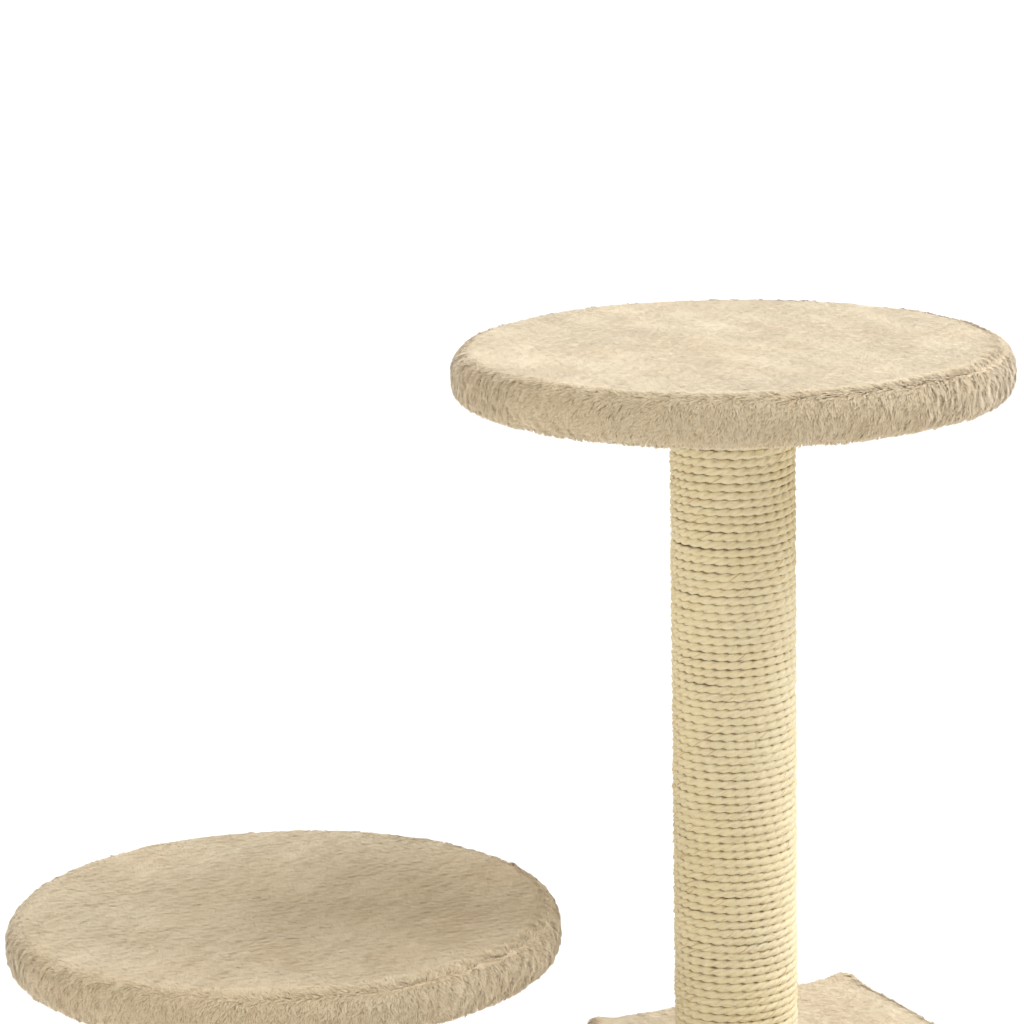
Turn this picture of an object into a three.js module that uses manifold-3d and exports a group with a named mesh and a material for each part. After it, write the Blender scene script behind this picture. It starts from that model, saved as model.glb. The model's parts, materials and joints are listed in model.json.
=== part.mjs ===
// A two-post cat tree: a plush-covered base with a condo box at its right end, a low post with a round
// perch on the left, and a tall perch whose post stands on the condo's roof.
// Millimetres, +Z up, +Y towards the back. The origin is the centre of the base's underside.

import * as THREE from "three";
import { mergeVertices } from "three/addons/utils/BufferGeometryUtils.js";
import Module from "manifold-3d";

const wasm = await Module();
wasm.setup();

// ---- Driving dimensions -------------------------------------------------------------------------------

const GAP = 0.3; // left between pieces that touch
const PAST = 1; // how far a cutting tool reaches past what it cuts
const BASE_WIDTH = 480; // along X, over the plush
const BASE_DEPTH = 340; // along Y, over the plush
const CONDO_WIDTH = 180; // along X, over the plush, flush with the base's right end
const CONDO_DEPTH = 300; // along Y, over the plush, flush with the base's front
const PERCH_RADIUS = 150; // over the plush
const PLUSH = 6.7; // backing cloth and pile together, standing free
const PLUSH_SQUEEZED = 0.9; // under a post's end or a panel's edge
const LINING = 0.9; // non-woven cloth
const SHEET = 1.5; // the cloth on the base's underside
const BOARD = 15; // base, roof and perch boards
const PANEL = 12; // the condo's four walls
const CORNER = 14; // radius of a cover's corner, seen from above
const PLUSH_EDGE = 6; // radius of a cover's edge, seen from the side

const POST_LENGTH = 380; // the cardboard tube
const LOWER_POST = { x: -119, y: 123 };
const UPPER_POST = { x: 114, y: 40 };
const TUBE_RADIUS = 29.5;
const TUBE_WALL = 4;
const WINDING_RADIUS = 34; // over the sisal rope
const WINDING_INSET = 1; // the rope stops this far from each end of the tube
const PLUG_DEPTH = 30;
const PERCH_STEP = 300; // from the lower perch up to the upper one, and from the base up to the roof

const BOLT_RADIUS = 4;
const BOLT_GRIP = 24; // how far a bolt reaches into a plug
const INSERT_RADIUS = 6;
const INSERT_LENGTH = 20;
const FLANGE_RADIUS = 9;
const FLANGE = 1.5;
const HEX_FLATS = 13;
const HEX_HEIGHT = 5.2;
const WASHER_RADIUS = 12;
const WASHER = 2;
const COUNTERBORE_RADIUS = 14;
const COUNTERBORE_DEPTH = 8;
const CUP_HEAD_RADIUS = 10;
const CUP_HEAD_HEIGHT = 3;
const CUP_SHOULDER = 0.7; // the head's slope breaks at this share of its radius and height
const SCREW_RADIUS = 2;
const SCREW_HEAD_RADIUS = 4;
const SCREW_HEAD_HEIGHT = 2.5;
const SCREW_LENGTH = 50;
const SCREW_Y = 90; // each side panel's screws stand this far to either side of its middle
const STAPLE = { width: 10, wire: 1.2, height: 0.8, fromEnd: 9 };

const ENTRANCE_RADIUS = 62; // cut through the front panel
const ENTRANCE_HEIGHT = 135; // its centre, above the floor
const ENTRANCE_LINING = 2.5;
const LINING_SET_BACK = 1; // from the front cover's face

const ROUND = 48; // facets round a post or a perch
const SMALL_ROUND = 16; // facets round a bolt
const SCREW_ROUND = 10;

// ---- Levels, from the floor up ------------------------------------------------------------------------

const BASE_BOTTOM = SHEET + GAP;
const BASE_TOP = BASE_BOTTOM + BOARD;
const STAND = BASE_TOP + GAP + PLUSH_SQUEEZED + GAP; // where posts and panels stand on squeezed plush
const LOWER_PERCH_BOTTOM = STAND + POST_LENGTH + GAP + LINING + GAP;
const UPPER_PERCH_BOTTOM = LOWER_PERCH_BOTTOM + PERCH_STEP;
const ROOF_STAND = STAND + PERCH_STEP;
const ROOF_BOTTOM = ROOF_STAND - GAP - PLUSH_SQUEEZED - GAP - BOARD;
const ROOF_TOP = ROOF_BOTTOM + BOARD;
const WALL_TOP = ROOF_BOTTOM - GAP;

const SKIN = PLUSH + GAP; // from a board's face out to the plush's surface
const CONDO_RIGHT = BASE_WIDTH / 2;
const CONDO_LEFT = CONDO_RIGHT - CONDO_WIDTH;
const CONDO_FRONT = -BASE_DEPTH / 2;
const CONDO_X = (CONDO_LEFT + CONDO_RIGHT) / 2;
const CONDO_Y = CONDO_FRONT + CONDO_DEPTH / 2;
const PERCH_BOARD_RADIUS = PERCH_RADIUS - SKIN;

// ---- Materials ----------------------------------------------------------------------------------------

const paint = (color, roughness, metalness = 0) =>
  new THREE.MeshStandardMaterial({ color, roughness, metalness });
const PLUSH_CLOTH = paint(0xdccbb0, 1);
const SISAL_ROPE = paint(0xcbb48f, 0.95);
const CHIPBOARD = paint(0xb6925f, 0.85);
const CARDBOARD = paint(0xa98358, 0.9);
const SOFTWOOD = paint(0xd2b078, 0.75);
const NONWOVEN = paint(0xd9cdb8, 0.95);
const ZINC_STEEL = paint(0xb9bcc0, 0.35, 1);

// ---- Solids -------------------------------------------------------------------------------------------

function solidOf(geometry) {
  const bare = geometry.clone();
  bare.deleteAttribute("normal");
  bare.deleteAttribute("uv");
  const merged = mergeVertices(bare, 1e-4);
  return new wasm.Manifold(
    new wasm.Mesh({
      numProp: 3,
      vertProperties: merged.attributes.position.array,
      triVerts: new Uint32Array(merged.index.array),
    }),
  );
}

function geometryOf(solid) {
  const { vertProperties, triVerts } = solid.getMesh();
  const geometry = new THREE.BufferGeometry();
  geometry.setAttribute("position", new THREE.BufferAttribute(vertProperties, 3));
  geometry.setIndex(new THREE.BufferAttribute(triVerts, 1));
  geometry.computeVertexNormals();
  return geometry;
}

const cut = (body, ...tools) =>
  geometryOf(tools.reduce((left, tool) => left.subtract(solidOf(tool)), solidOf(body)));
const join = (body, ...others) =>
  geometryOf(others.reduce((all, other) => all.add(solidOf(other)), solidOf(body)));

// A solid turned about a vertical line through (x, y). The profile is [radius, z] points, and runs from
// the axis out and up, and back to the axis, or closes on itself anticlockwise.
function turned(profile, x = 0, y = 0, facets = ROUND) {
  const points = profile.map(([radius, z]) => new THREE.Vector2(radius, z));
  return new THREE.LatheGeometry(points, facets).rotateX(Math.PI / 2).translate(x, y, 0);
}

const rod = (radius, bottom, top, x = 0, y = 0, facets = SMALL_ROUND) =>
  turned([[0, bottom], [radius, bottom], [radius, top], [0, top]], x, y, facets);

const pipe = (inner, outer, bottom, top, x = 0, y = 0, facets = ROUND) =>
  turned(
    [[inner, bottom], [outer, bottom], [outer, top], [inner, top], [inner, bottom]],
    x,
    y,
    facets,
  );

const rodAlongY = (radius, front, back, x, z, facets = ROUND) =>
  rod(radius, -back, -front, 0, 0, facets).rotateX(Math.PI / 2).translate(x, 0, z);

const box = (x0, x1, y0, y1, z0, z1) =>
  new THREE.BoxGeometry(x1 - x0, y1 - y0, z1 - z0).translate(
    (x0 + x1) / 2,
    (y0 + y1) / 2,
    (z0 + z1) / 2,
  );

function roundedRectangle(width, depth, radius) {
  const x = width / 2;
  const y = depth / 2;
  const shape = new THREE.Shape();
  shape.moveTo(-x + radius, -y);
  shape.lineTo(x - radius, -y);
  shape.absarc(x - radius, -y + radius, radius, -Math.PI / 2, 0);
  shape.absarc(x - radius, y - radius, radius, 0, Math.PI / 2);
  shape.absarc(-x + radius, y - radius, radius, Math.PI / 2, Math.PI);
  shape.absarc(-x + radius, -y + radius, radius, Math.PI, 1.5 * Math.PI);
  return shape;
}

// A cushion-edged slab, centred at (x, y).
const paddedSlab = (width, depth, bottom, top, x, y) =>
  new THREE.ExtrudeGeometry(roundedRectangle(width, depth, CORNER), {
    depth: top - bottom - 2 * PLUSH_EDGE,
    bevelEnabled: true,
    bevelThickness: PLUSH_EDGE,
    bevelSize: PLUSH_EDGE,
    bevelOffset: -PLUSH_EDGE,
    bevelSegments: 3,
    curveSegments: 4,
  }).translate(x, y, bottom + PLUSH_EDGE);

// ---- Fasteners ----------------------------------------------------------------------------------------

// A hexagon bolt pointing up, its head's underside at `seat`.
const hexBolt = (seat, tip, at) =>
  join(
    rod(HEX_FLATS / Math.sqrt(3), seat - HEX_HEIGHT, seat, at.x, at.y, 6),
    rod(BOLT_RADIUS, seat - PAST, tip, at.x, at.y),
  );

const washer = (top, at) =>
  pipe(BOLT_RADIUS + GAP, WASHER_RADIUS, top - WASHER, top, at.x, at.y, SMALL_ROUND);

// A cup-headed bolt pointing down, its head's underside at `seat`.
const cupBolt = (seat, tip) =>
  turned(
    [
      [0, tip],
      [BOLT_RADIUS, tip],
      [BOLT_RADIUS, seat],
      [CUP_HEAD_RADIUS, seat],
      [CUP_SHOULDER * CUP_HEAD_RADIUS, seat + CUP_SHOULDER * CUP_HEAD_HEIGHT],
      [0, seat + CUP_HEAD_HEIGHT],
    ],
    0,
    0,
    SMALL_ROUND,
  );

// A flanged threaded insert, the flange at `mouth` and the barrel running `way` (+1 up, -1 down).
function insertNut(mouth, way) {
  const bore = BOLT_RADIUS + GAP;
  const profile = [
    [bore, 0],
    [FLANGE_RADIUS, 0],
    [FLANGE_RADIUS, FLANGE],
    [INSERT_RADIUS, FLANGE],
    [INSERT_RADIUS, INSERT_LENGTH],
    [bore, INSERT_LENGTH],
    [bore, 0],
  ].map(([radius, z]) => [radius, mouth + way * z]);
  return turned(way > 0 ? profile : profile.reverse(), 0, 0, SMALL_ROUND);
}

// A countersunk wood screw, its head's face at `face`, pointing `way` (+1 up, -1 down). Grown by
// `clearance`, it cuts its own hole.
function screw(face, way, at, clearance = 0) {
  const head = SCREW_HEAD_RADIUS + 2 * clearance;
  const shank = SCREW_RADIUS + clearance;
  const profile = [
    [0, -2 * clearance],
    [head, -2 * clearance],
    [shank, SCREW_HEAD_HEIGHT],
    [shank, SCREW_LENGTH - 2 * SCREW_RADIUS],
    [0, SCREW_LENGTH + clearance],
  ].map(([radius, z]) => [radius, face + way * z]);
  return turned(way > 0 ? profile : profile.reverse(), at.x, at.y, SCREW_ROUND);
}

const SIDE_PANEL_X = [CONDO_LEFT + SKIN + PANEL / 2, CONDO_RIGHT - SKIN - PANEL / 2];
const SCREW_PLACES = SIDE_PANEL_X.flatMap((x) =>
  [CONDO_Y - SCREW_Y, CONDO_Y + SCREW_Y].map((y) => ({ x, y })),
);
const FLOOR_SCREW_FACE = BASE_BOTTOM + GAP;
const ROOF_SCREW_FACE = ROOF_TOP - GAP;
const floorScrews = (clearance) =>
  SCREW_PLACES.map((at) => screw(FLOOR_SCREW_FACE, 1, at, clearance));
const roofScrews = (clearance) =>
  SCREW_PLACES.map((at) => screw(ROOF_SCREW_FACE, -1, at, clearance));

// ---- Base ---------------------------------------------------------------------------------------------

const BASE_BOLT_SEAT = BASE_BOTTOM + COUNTERBORE_DEPTH - GAP - WASHER - GAP;
const ROOF_BOLT_SEAT = ROOF_BOTTOM - GAP - WASHER - GAP;
const boltHole = (bottom, top, at) => rod(BOLT_RADIUS + GAP, bottom, top, at.x, at.y);

function baseBoard() {
  const x = BASE_WIDTH / 2 - SKIN;
  const y = BASE_DEPTH / 2 - SKIN;
  return cut(
    box(-x, x, -y, y, BASE_BOTTOM, BASE_TOP),
    boltHole(0, STAND, LOWER_POST),
    rod(
      COUNTERBORE_RADIUS,
      0,
      BASE_BOTTOM + COUNTERBORE_DEPTH,
      LOWER_POST.x,
      LOWER_POST.y,
      SMALL_ROUND,
    ),
    ...floorScrews(GAP),
  );
}

function baseUndersideSheet() {
  const x = BASE_WIDTH / 2 - SKIN;
  const y = BASE_DEPTH / 2 - SKIN;
  return cut(
    box(-x, x, -y, y, 0, SHEET),
    rod(COUNTERBORE_RADIUS, -PAST, SHEET + PAST, LOWER_POST.x, LOWER_POST.y, SMALL_ROUND),
  );
}

// An upright block round the condo's middle, grown outwards by `out` from the condo's outline.
const condoBlock = (out, bottom, top) =>
  box(
    CONDO_LEFT - out,
    CONDO_RIGHT + out,
    CONDO_FRONT - out,
    CONDO_FRONT + CONDO_DEPTH + out,
    bottom,
    top,
  );

// The strip on which the condo's four walls stand.
function wallFootprint(bottom, top, clearance) {
  const outside = clearance - SKIN;
  const inside = -SKIN - PANEL - clearance;
  return cut(condoBlock(outside, bottom, top), condoBlock(inside, bottom - PAST, top + PAST));
}

function baseCover() {
  const top = BASE_TOP + SKIN;
  const squeezed = STAND - GAP;
  const x = BASE_WIDTH / 2 - PLUSH;
  const y = BASE_DEPTH / 2 - PLUSH;
  return cut(
    paddedSlab(BASE_WIDTH, BASE_DEPTH, BASE_BOTTOM - PLUSH, top, 0, 0),
    box(-x, x, -y, y, -PLUSH, BASE_TOP + GAP),
    box(-BASE_WIDTH, BASE_WIDTH, -BASE_DEPTH, BASE_DEPTH, -2 * PLUSH, BASE_BOTTOM),
    rod(WINDING_RADIUS + 2 * GAP, squeezed, top + PAST, LOWER_POST.x, LOWER_POST.y, ROUND),
    boltHole(0, top, LOWER_POST),
    wallFootprint(squeezed, top + PAST, GAP),
    ...floorScrews(GAP),
  );
}

// ---- Condo --------------------------------------------------------------------------------------------

const entrance = (radius) =>
  rodAlongY(radius, -BASE_DEPTH, 0, CONDO_X, ENTRANCE_HEIGHT);
const WALL_X = CONDO_WIDTH / 2 - SKIN; // from the condo's middle out to a side panel's face
const WALL_Y = CONDO_DEPTH / 2 - SKIN; // and to the front or back panel's face
const SIDE_Y = WALL_Y - PANEL - GAP;

function wallPanel(x0, x1, y0, y1) {
  const panel = box(CONDO_X + x0, CONDO_X + x1, CONDO_Y + y0, CONDO_Y + y1, STAND, WALL_TOP);
  return cut(panel, ...floorScrews(GAP), ...roofScrews(GAP));
}

const frontPanel = () =>
  cut(wallPanel(-WALL_X, WALL_X, -WALL_Y, -WALL_Y + PANEL), entrance(ENTRANCE_RADIUS));
const backPanel = () => wallPanel(-WALL_X, WALL_X, WALL_Y - PANEL, WALL_Y);
const leftPanel = () => wallPanel(-WALL_X, -WALL_X + PANEL, -SIDE_Y, SIDE_Y);
const rightPanel = () => wallPanel(WALL_X - PANEL, WALL_X, -SIDE_Y, SIDE_Y);

function roofBoard() {
  return cut(
    condoBlock(-SKIN, ROOF_BOTTOM, ROOF_TOP),
    boltHole(ROOF_BOTTOM - PAST, ROOF_STAND, UPPER_POST),
    ...roofScrews(GAP),
  );
}

function roofCover() {
  const top = ROOF_TOP + SKIN;
  return cut(
    paddedSlab(CONDO_WIDTH, CONDO_DEPTH, ROOF_BOTTOM - PLUSH, top, CONDO_X, CONDO_Y),
    condoBlock(-PLUSH, ROOF_BOTTOM - 2 * PLUSH, ROOF_TOP + GAP),
    condoBlock(PLUSH, ROOF_BOTTOM - 2 * PLUSH, ROOF_BOTTOM),
    rod(
      WINDING_RADIUS + 2 * GAP,
      ROOF_STAND - GAP,
      top + PAST,
      UPPER_POST.x,
      UPPER_POST.y,
      ROUND,
    ),
    boltHole(ROOF_TOP, top, UPPER_POST),
  );
}

// A plush wall cover, standing on the base's plush. `turn` is the quarter turns from the front. The
// front and back covers reach round the corners, and the side covers fit between them.
function wallCover(turn) {
  const reachesRound = turn % 2 === 0;
  const outer = (reachesRound ? CONDO_DEPTH : CONDO_WIDTH) / 2;
  const inner = outer - PLUSH;
  const half = reachesRound ? CONDO_WIDTH / 2 : CONDO_DEPTH / 2 - PLUSH - GAP;
  const round = reachesRound ? PLUSH_EDGE : 0;
  const outline = new THREE.Shape();
  outline.moveTo(half, -inner);
  outline.lineTo(-half, -inner);
  outline.lineTo(-half, -outer + round);
  if (round) outline.absarc(-half + round, -outer + round, round, Math.PI, 1.5 * Math.PI);
  else outline.lineTo(-half, -outer);
  outline.lineTo(half - round, -outer);
  if (round) outline.absarc(half - round, -outer + round, round, 1.5 * Math.PI, 2 * Math.PI);
  const bottom = BASE_TOP + SKIN + GAP;
  return new THREE.ExtrudeGeometry(outline, {
    depth: WALL_TOP - bottom,
    bevelEnabled: false,
    curveSegments: 4,
  })
    .rotateZ((turn * Math.PI) / 2)
    .translate(CONDO_X, CONDO_Y, bottom);
}

const frontCover = () => cut(wallCover(0), entrance(ENTRANCE_RADIUS));

// The front cover's cut edge, folded back through the entrance.
const entranceLining = () =>
  pipe(
    ENTRANCE_RADIUS - GAP - ENTRANCE_LINING,
    ENTRANCE_RADIUS - GAP,
    SIDE_Y + GAP,
    CONDO_DEPTH / 2 - LINING_SET_BACK,
  )
    .rotateX(Math.PI / 2)
    .translate(CONDO_X, CONDO_Y, ENTRANCE_HEIGHT);

// ---- Posts, each made round its own axis with its foot at z = 0 ---------------------------------------

const TUBE_BORE = TUBE_RADIUS - TUBE_WALL;

// A wooden plug that fills the tube's end at `face` and runs `way` into the tube.
function plug(face, way) {
  const [bottom, top] = [face, face + way * PLUG_DEPTH].sort((a, b) => a - b);
  const [seatBottom, seatTop] = [face - way, face + way * (FLANGE + 2 * GAP)].sort((a, b) => a - b);
  return cut(
    rod(TUBE_BORE - GAP, bottom, top, 0, 0, ROUND),
    rod(INSERT_RADIUS + GAP, bottom - PAST, top + PAST),
    rod(FLANGE_RADIUS + GAP, seatBottom, seatTop),
  );
}

const winding = () =>
  pipe(TUBE_RADIUS + GAP, WINDING_RADIUS, WINDING_INSET, POST_LENGTH - WINDING_INSET);

// A staple across the rope's end. It stands on the winding's surface, facing `angle`.
const staple = (z, angle) =>
  box(
    WINDING_RADIUS + GAP,
    WINDING_RADIUS + GAP + STAPLE.height,
    -STAPLE.width / 2,
    STAPLE.width / 2,
    z - STAPLE.wire / 2,
    z + STAPLE.wire / 2,
  ).rotateZ(angle);

// ---- Perches, each made round its own axis with its board's underside at z = 0 ------------------------

const CUP_SEAT = BOARD - CUP_HEAD_HEIGHT - GAP;

const perchBoard = () =>
  cut(
    rod(PERCH_BOARD_RADIUS, 0, BOARD, 0, 0, ROUND),
    rod(BOLT_RADIUS + GAP, -PAST, BOARD + PAST),
    rod(CUP_HEAD_RADIUS + GAP, CUP_SEAT - GAP, BOARD + PAST),
  );

const PERCH_TURN_IN = 114; // the cover is turned under as far in as this radius

// A quarter circle of profile points round (radius, z), from the angle `start`.
function edgeArc(radius, z, start) {
  const steps = 3;
  return Array.from({ length: steps + 1 }, (_, i) => {
    const angle = start + (i / steps) * (Math.PI / 2);
    return [radius + PLUSH_EDGE * Math.cos(angle), z + PLUSH_EDGE * Math.sin(angle)];
  });
}

function perchCover() {
  const top = BOARD + SKIN;
  const bottom = -SKIN;
  const edge = PERCH_RADIUS - PLUSH_EDGE;
  const inner = PERCH_BOARD_RADIUS + GAP;
  return turned([
    [0, BOARD + GAP],
    [inner, BOARD + GAP],
    [inner, -GAP],
    [PERCH_TURN_IN, -GAP],
    [PERCH_TURN_IN, bottom],
    ...edgeArc(edge, bottom + PLUSH_EDGE, -Math.PI / 2),
    ...edgeArc(edge, top - PLUSH_EDGE, 0),
    [0, top],
  ]);
}

const undersideDisc = () =>
  pipe(BOLT_RADIUS + GAP, PERCH_TURN_IN - GAP, -GAP - LINING, -GAP);

// ---- Assembly -----------------------------------------------------------------------------------------

const catTree = new THREE.Group();

function add(name, geometry, material, group = catTree) {
  const mesh = new THREE.Mesh(geometry, material);
  mesh.name = name;
  group.add(mesh);
}

function placed(x, y, z) {
  const group = new THREE.Group();
  group.position.set(x, y, z);
  catTree.add(group);
  return group;
}

function addBase() {
  add("base_board", baseBoard(), CHIPBOARD);
  add("base_cover", baseCover(), PLUSH_CLOTH);
  add("base_underside_sheet", baseUndersideSheet(), NONWOVEN);
  const tip = STAND + BOLT_GRIP;
  add("lower_post_bolt", hexBolt(BASE_BOLT_SEAT, tip, LOWER_POST), ZINC_STEEL);
  add("lower_post_washer", washer(BASE_BOLT_SEAT + GAP + WASHER, LOWER_POST), ZINC_STEEL);
}

function addCondo() {
  add("condo_front_panel", frontPanel(), CHIPBOARD);
  add("condo_back_panel", backPanel(), CHIPBOARD);
  add("condo_left_panel", leftPanel(), CHIPBOARD);
  add("condo_right_panel", rightPanel(), CHIPBOARD);
  add("condo_roof_board", roofBoard(), CHIPBOARD);
  add("condo_front_cover", frontCover(), PLUSH_CLOTH);
  add("condo_right_cover", wallCover(1), PLUSH_CLOTH);
  add("condo_back_cover", wallCover(2), PLUSH_CLOTH);
  add("condo_left_cover", wallCover(3), PLUSH_CLOTH);
  add("condo_roof_cover", roofCover(), PLUSH_CLOTH);
  add("entrance_lining", entranceLining(), PLUSH_CLOTH);
  const tip = ROOF_STAND + BOLT_GRIP;
  add("upper_post_bolt", hexBolt(ROOF_BOLT_SEAT, tip, UPPER_POST), ZINC_STEEL);
  add("upper_post_washer", washer(ROOF_BOLT_SEAT + GAP + WASHER, UPPER_POST), ZINC_STEEL);
  floorScrews(0).forEach((geometry, i) => add(`floor_screw_${i + 1}`, geometry, ZINC_STEEL));
  roofScrews(0).forEach((geometry, i) => add(`roof_screw_${i + 1}`, geometry, ZINC_STEEL));
}

function addPost(name, at, stand) {
  const post = placed(at.x, at.y, stand);
  const mouth = GAP; // an insert's flange sits just inside the plug's face
  const tube = pipe(TUBE_BORE, TUBE_RADIUS, 0, POST_LENGTH);
  add(`${name}_post_tube`, tube, CARDBOARD, post);
  add(`${name}_post_bottom_plug`, plug(0, 1), SOFTWOOD, post);
  add(`${name}_post_top_plug`, plug(POST_LENGTH, -1), SOFTWOOD, post);
  add(`${name}_post_bottom_insert`, insertNut(mouth, 1), ZINC_STEEL, post);
  add(`${name}_post_top_insert`, insertNut(POST_LENGTH - mouth, -1), ZINC_STEEL, post);
  add(`${name}_post_sisal_winding`, winding(), SISAL_ROPE, post);
  const facing = 0.75 * Math.PI; // the rope's two ends are stapled at the back
  add(`${name}_post_rope_start_staple`, staple(STAPLE.fromEnd, facing), ZINC_STEEL, post);
  add(
    `${name}_post_rope_end_staple`,
    staple(POST_LENGTH - STAPLE.fromEnd, facing),
    ZINC_STEEL,
    post,
  );
}

function addPerch(name, at, underside) {
  const perch = placed(at.x, at.y, underside);
  add(`${name}_perch_board`, perchBoard(), CHIPBOARD, perch);
  add(`${name}_perch_cover`, perchCover(), PLUSH_CLOTH, perch);
  add(`${name}_perch_underside_disc`, undersideDisc(), NONWOVEN, perch);
  add(`${name}_perch_bolt`, cupBolt(CUP_SEAT, -BOLT_GRIP), ZINC_STEEL, perch);
}

addBase();
addCondo();
addPost("lower", LOWER_POST, STAND);
addPost("upper", UPPER_POST, ROOF_STAND);
addPerch("lower", LOWER_POST, LOWER_PERCH_BOTTOM);
addPerch("upper", UPPER_POST, UPPER_PERCH_BOTTOM);

export default catTree;
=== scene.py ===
import json
import math

import bpy
import numpy as np
from mathutils import Matrix, Vector
from mathutils.geometry import delaunay_2d_cdt


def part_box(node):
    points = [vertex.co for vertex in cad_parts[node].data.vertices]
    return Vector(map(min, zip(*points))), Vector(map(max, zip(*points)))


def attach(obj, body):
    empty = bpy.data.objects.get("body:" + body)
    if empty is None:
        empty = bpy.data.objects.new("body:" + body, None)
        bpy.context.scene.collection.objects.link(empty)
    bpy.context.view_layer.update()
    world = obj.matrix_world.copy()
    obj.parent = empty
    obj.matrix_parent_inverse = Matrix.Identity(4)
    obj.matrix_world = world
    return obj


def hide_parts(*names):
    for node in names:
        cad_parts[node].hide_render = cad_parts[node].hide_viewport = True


# Looks of the two-post cat tree: pile plush over its boards, sisal rope wound round its posts.
# Metres, in the CAD frame: +Z up, +Y to the back.

MM = 0.001
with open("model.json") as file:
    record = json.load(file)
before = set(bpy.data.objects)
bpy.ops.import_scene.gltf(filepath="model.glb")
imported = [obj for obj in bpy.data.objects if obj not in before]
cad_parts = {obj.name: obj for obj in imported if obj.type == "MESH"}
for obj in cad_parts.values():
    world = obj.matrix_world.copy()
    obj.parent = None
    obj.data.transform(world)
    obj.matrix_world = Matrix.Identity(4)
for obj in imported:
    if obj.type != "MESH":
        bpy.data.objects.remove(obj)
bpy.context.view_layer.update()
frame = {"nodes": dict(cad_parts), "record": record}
nodes = frame["nodes"]


def middle(node):
    low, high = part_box(node)
    return (np.array(low) + np.array(high)) / 2


def size(node):
    low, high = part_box(node)
    return np.array(high) - np.array(low)


# ---- Camera -------------------------------------------------------------------------------------------

PERCH_TOP = np.array([*middle("upper_perch_cover")[:2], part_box("upper_perch_cover")[1][2]])


def unit(v):
    v = np.asarray(v, float)
    return v / np.linalg.norm(v)


def make_camera():
    """A long lens, looking down a little on the tall perch, which sits to the right; the base is cut off."""
    azimuth, pitch, roll = (math.radians(a) for a in (25.78, 12.52, -1.04))
    beside, behind, above = -0.1185, 2.171, 0.3914  # of the tall perch's top
    right = np.array([math.cos(azimuth), -math.sin(azimuth), 0])
    level = np.array([math.sin(azimuth), math.cos(azimuth), 0])
    up = np.array([0, 0, 1.0])
    ahead = level * math.cos(pitch) - up * math.sin(pitch)
    over = level * math.sin(pitch) + up * math.cos(pitch)
    x_axis = right * math.cos(roll) + over * math.sin(roll)
    y_axis = over * math.cos(roll) - right * math.sin(roll)
    place = PERCH_TOP + right * beside - level * behind + up * above
    camera = bpy.data.objects.new("camera", bpy.data.cameras.new("camera"))
    bpy.context.scene.collection.objects.link(camera)
    axes = Matrix([x_axis, y_axis, -ahead]).transposed()
    camera.matrix_world = Matrix.Translation(place) @ axes.to_4x4()
    camera.data.sensor_width = 36
    camera.data.lens = 145.8
    camera.data.clip_end = 100
    bpy.context.scene.camera = camera


make_camera()


# ---- Materials ----------------------------------------------------------------------------------------


class Nodes:
    """A material's node tree, written as nested calls. Every method returns an output socket."""

    def __init__(self, name):
        self.material = bpy.data.materials.new(name)
        self.material.use_nodes = True
        self.tree = self.material.node_tree
        self.shader = self.tree.nodes["Principled BSDF"]

    def node(self, kind, output, inputs=(), **settings):
        made = self.tree.nodes.new(kind)
        for key, value in settings.items():
            setattr(made, key, value)
        for key, value in dict(inputs).items():
            if isinstance(value, bpy.types.NodeSocket):
                self.tree.links.new(value, made.inputs[key])
            else:
                made.inputs[key].default_value = value
        return made.outputs[output]

    def attribute(self, name, output="Fac"):
        return self.node("ShaderNodeAttribute", output, attribute_name=name)

    def place(self, scale=(1, 1, 1), turn=(0, 0, 0), source=None):
        source = source or self.node("ShaderNodeTexCoord", "Object")
        return self.node(
            "ShaderNodeMapping", "Vector", {"Vector": source, "Scale": scale, "Rotation": turn}
        )

    def noise(self, vector, scale, detail=3, rough=0.55):
        inputs = {"Vector": vector, "Scale": scale, "Detail": detail, "Roughness": rough}
        return self.node("ShaderNodeTexNoise", "Fac", inputs)

    def cells(self, vector, scale, output="Color"):
        return self.node("ShaderNodeTexVoronoi", output, {"Vector": vector, "Scale": scale})

    def math(self, operation, a, b=0.0):
        made = self.tree.nodes.new("ShaderNodeMath")
        made.operation = operation
        for socket, value in zip(made.inputs, (a, b)):
            if isinstance(value, bpy.types.NodeSocket):
                self.tree.links.new(value, socket)
            else:
                socket.default_value = value
        return made.outputs[0]

    def ramp(self, factor, *stops):
        """stops are (position, colour or grey)."""
        made = self.tree.nodes.new("ShaderNodeValToRGB")
        elements = made.color_ramp.elements
        while len(elements) < len(stops):
            elements.new(0.5)
        for element, (position, colour) in zip(elements, stops):
            element.position = position
            grey = isinstance(colour, (int, float))
            element.color = (colour,) * 3 + (1,) if grey else (*colour, 1)
        self.tree.links.new(factor, made.inputs[0])
        return made.outputs[0]

    def mix(self, factor, a, b, blend="MIX"):
        made = self.tree.nodes.new("ShaderNodeMix")
        made.data_type = "RGBA"
        made.blend_type = blend
        for socket, value in zip((made.inputs[0], made.inputs[6], made.inputs[7]), (factor, a, b)):
            if isinstance(value, bpy.types.NodeSocket):
                self.tree.links.new(value, socket)
            else:
                socket.default_value = value if isinstance(value, (int, float)) else (*value, 1)
        return made.outputs[2]

    def bump(self, height, distance, strength=1.0):
        inputs = {"Height": height, "Distance": distance, "Strength": strength}
        return self.node("ShaderNodeBump", "Normal", inputs)

    def finish(self, **sockets):
        """Principled sockets by name, with _ for a space: a number, a colour or another node's output."""
        for key, value in sockets.items():
            socket = self.shader.inputs[key.replace("_", " ")]
            if isinstance(value, bpy.types.NodeSocket):
                self.tree.links.new(value, socket)
            else:
                socket.default_value = value
        return self.material


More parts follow.
